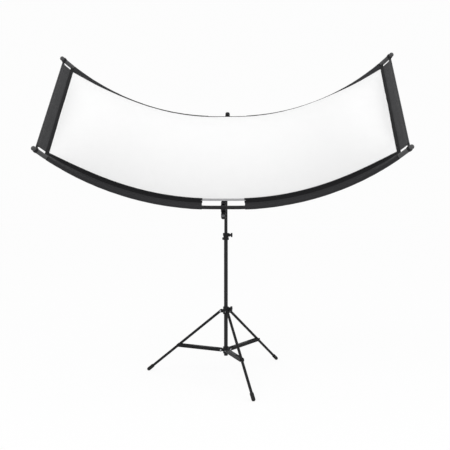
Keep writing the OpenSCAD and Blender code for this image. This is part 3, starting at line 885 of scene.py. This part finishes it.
class REFLECTOR_OT_finishes(bpy.types.Operator):
    """Give every CAD piece that shows its finish"""

    bl_idname = "reflector.finishes"
    bl_label = "Finishes"

    def execute(self, context):
        c = colours()
        finish = {
            coated("tube_coat", c.tube): ["lower_tube", "middle_tube", "top_tube", "near_arc_middle",
                                          "near_arc_ends", "far_arc_middle", "far_arc_ends"],
            coated("leg_coat", c.leg, 0.55, 0.1): ["leg_front", "leg_right", "leg_left", "brace_front",
                                              "brace_right", "brace_left", "crossbar", "end_stays"],
            moulded("foot_rubber", c.rubber, 0.75, 600, 0.8): ["foot_front", "foot_right", "foot_left"],
            # The sockets' plastic is dark, and its colour is raised evenly as a painted highlight for the
            # light on their tops.
            moulded("socket_plastic_painted_highlight", c.socket, 0.42, 1200, 0.3): ["tip_sockets"],
            moulded("nylon", c.nylon, 0.4): ["middle_bush", "top_bush"],
            plated("plated_steel", c.steel): ["base_pins", "leg_pins", "rivet_front", "rivet_right",
                                              "rivet_left", "spigot", "tilt_bolt", "arc_ferrules"],
            plated("dark_steel", shade(c.steel, 0.3)): ["nose_button"],
            moulded("elastic_cord", c.nylon, 0.8): ["shock_cords"],
        }
        for material, nodes in finish.items():
            for node in nodes:
                slots = frame["nodes"][node].data.materials
                slots.clear()
                slots.append(material)
        hidden = moulded("under_cloth", c.plastic)
        for node in list(PLASTIC_NODES) + ["white_cloth", "silver_backing", "near_sleeves",
                                           "far_sleeves", "end_bands", "window_hems"]:
            slots = frame["nodes"][node].data.materials
            slots.clear()
            slots.append(hidden)
        return {"FINISHED"}


# ---- the studio ----

# what the background shows, and how far the floor shows the same instead of its own light
BACKGROUND = 0.98
FLOOR_GLOW = 1.026
FLOOR_SHARE = 0.86


def soft_lamp(name, at, aim, size, power):
    bpy.ops.object.light_add(type="AREA", location=at)
    lamp = bpy.context.object
    lamp.name = name
    lamp.data.shape = "DISK"
    lamp.data.size = size
    lamp.data.energy = power
    lamp.rotation_euler = (Vector(aim) - Vector(at)).to_track_quat("-Z", "Y").to_euler()
    return lamp


def seen_directly(finish):
    """1 for a ray from the camera or off gloss or through glass, and 0 for light on the object."""
    path = finish.tree.nodes.new("ShaderNodeLightPath")
    rays = [Term(finish, path.outputs[n]) for n in ("Is Camera Ray", "Is Glossy Ray", "Is Transmission Ray")]
    return finish.math("MINIMUM", rays[0] + rays[1] + rays[2], 1.0)


class REFLECTOR_OT_stage(bpy.types.Operator):
    """Set the camera, the lamps, the pale floor and the white background"""

    bl_idname = "reflector.stage"
    bl_label = "Studio"

    def execute(self, context):
        t = context.scene.reflector_studio
        column = column_axis()
        turn = Matrix.Rotation(t.camera_turn, 3, "Z")
        at = Vector((column.x, column.y, 0)) + turn @ Vector((0, -t.camera_back, t.camera_up))
        level = Matrix.Rotation(t.camera_turn + t.camera_aim, 3, "Z")
        look = level @ Vector((0, math.cos(t.camera_dip), -math.sin(t.camera_dip)))
        bpy.ops.object.camera_add(location=at, rotation=look.to_track_quat("-Z", "Y").to_euler())
        camera = context.object
        camera.data.lens = t.lens
        camera.data.sensor_width = 36
        camera.data.clip_end = 100
        context.scene.camera = camera

        centre = Vector((column.x, column.y, TILT_AT.z))
        soft_lamp("key_lamp", centre + Vector((-1.2, -2.2, 2.4)), centre, 2.4, t.key_power)
        soft_lamp("fill_lamp", centre + Vector((2.0, -1.8, 1.2)), centre, 2.4, t.fill_power)

        deselect()
        bpy.ops.mesh.primitive_plane_add(size=t.floor_size)
        floor = bpy.context.object
        floor.name = "floor"
        pale = Finish("pale_floor")
        matt = pale.node("ShaderNodeBsdfDiffuse", {}, {"Color": (0.82, 0.82, 0.82, 1)})
        white = pale.node("ShaderNodeEmission", {}, {"Color": (1, 1, 1, 1), "Strength": FLOOR_GLOW})
        share = seen_directly(pale) * FLOOR_SHARE
        mixed = pale.node("ShaderNodeMixShader", {}, {0: share, 1: matt, 2: white})
        out = pale.tree.nodes.new("ShaderNodeOutputMaterial")
        pale.tree.links.new(mixed.socket, out.inputs["Surface"])
        floor.data.materials.append(pale.material)

        sky = Finish("studio_sky", "worlds")
        context.scene.world = sky.material
        strength = seen_directly(sky) * (BACKGROUND - t.sky) + t.sky
        glow = sky.node("ShaderNodeBackground", {}, {"Color": (1, 1, 1, 1), "Strength": strength})
        out = sky.tree.nodes.new("ShaderNodeOutputWorld")
        sky.tree.links.new(glow.socket, out.inputs["Surface"])
        context.scene.view_settings.view_transform = "Standard"
        return {"FINISHED"}


class REFLECTOR_PT_panel(bpy.types.Panel):
    """Buttons that build the reflector's looks"""

    bl_idname = "REFLECTOR_PT_panel"
    bl_label = "Reflector"
    bl_space_type = "VIEW_3D"
    bl_region_type = "UI"
    bl_category = "Reflector"

    def draw(self, context):
        for step in STEPS:
            self.layout.operator(step.bl_idname)


STEPS = [
    REFLECTOR_OT_stage,
    REFLECTOR_OT_face_cloth,
    REFLECTOR_OT_sleeves,
    REFLECTOR_OT_end_bands,
    REFLECTOR_OT_binding,
    REFLECTOR_OT_opening_hems,
    REFLECTOR_OT_moulded_parts,
    REFLECTOR_OT_finishes,
]
CLASSES = [ReflectorSizes, ReflectorColours, ReflectorStudio, *STEPS, REFLECTOR_PT_panel]


def register():
    for cls in CLASSES:
        bpy.utils.register_class(cls)
    bpy.types.Scene.reflector_sizes = PointerProperty(type=ReflectorSizes)
    bpy.types.Scene.reflector_colours = PointerProperty(type=ReflectorColours)
    bpy.types.Scene.reflector_studio = PointerProperty(type=ReflectorStudio)


def unregister():
    del bpy.types.Scene.reflector_studio
    del bpy.types.Scene.reflector_colours
    del bpy.types.Scene.reflector_sizes
    for cls in reversed(CLASSES):
        bpy.utils.unregister_class(cls)


def main():
    register()
    for step in STEPS:
        group, name = step.bl_idname.split(".")
        getattr(getattr(bpy.ops, group), name)()


if __name__ == "__main__":
    main()
